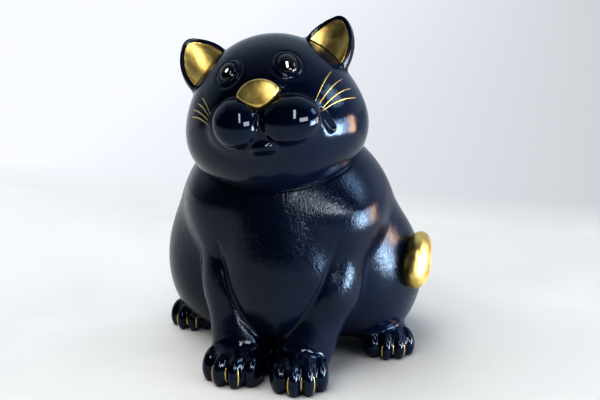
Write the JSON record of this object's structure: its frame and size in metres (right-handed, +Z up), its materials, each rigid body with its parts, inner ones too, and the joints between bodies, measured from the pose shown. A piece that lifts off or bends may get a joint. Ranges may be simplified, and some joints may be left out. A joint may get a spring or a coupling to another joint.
{
  "type": "ceramic cat figurine",
  "caption": "Seated chubby cat figurine in dark glossy glaze with gilded ear linings, nose, tail, whiskers and toe lines, looking up with its head leaning aside.",
  "frame": {"origin": "under the middle of the cat, on the surface that it sits on", "axes": "+Z up through the head, the cat faces -Y, its own left side is +X"},
  "size_m": [0.1626, 0.134, 0.2028],
  "materials": {
    "navy_glaze": "dark navy gloss glaze over fine brushed strokes",
    "black_glaze": "near-black mirror gloss glaze",
    "gilding": "satin gold lustre over glaze"
  },
  "bodies": {
    "root": {"torso_shell": "navy_glaze", "front_leg_right": "navy_glaze", "haunch_right": "navy_glaze", "front_leg_left": "navy_glaze", "haunch_left": "navy_glaze", "tail": "gilding", "front_paw_right": "navy_glaze", "front_paw_right_line_1": "gilding", "front_paw_right_line_2": "gilding", "front_paw_right_line_3": "gilding", "front_paw_left": "navy_glaze", "front_paw_left_line_1": "gilding", "front_paw_left_line_2": "gilding", "front_paw_left_line_3": "gilding", "rear_paw_right": "navy_glaze", "rear_paw_right_line_1": "gilding", "rear_paw_right_line_2": "gilding", "rear_paw_right_line_3": "gilding", "rear_paw_left": "navy_glaze", "rear_paw_left_line_1": "gilding", "rear_paw_left_line_2": "gilding", "rear_paw_left_line_3": "gilding", "head_shell": "navy_glaze", "muzzle_pad_right": "navy_glaze", "muzzle_pad_left": "navy_glaze", "nose": "gilding", "lower_lip": "navy_glaze", "ear_right": "navy_glaze", "ear_lining_right": "gilding", "eye_right": "black_glaze", "eye_rim_right": "navy_glaze", "whisker_right_1": "gilding", "whisker_right_2": "gilding", "whisker_right_3": "gilding", "whisker_right_4": "gilding", "ear_left": "navy_glaze", "ear_lining_left": "gilding", "eye_left": "black_glaze", "eye_rim_left": "navy_glaze", "whisker_left_1": "gilding", "whisker_left_2": "gilding", "whisker_left_3": "gilding", "whisker_left_4": "gilding"}
  },
  "joints": []
}
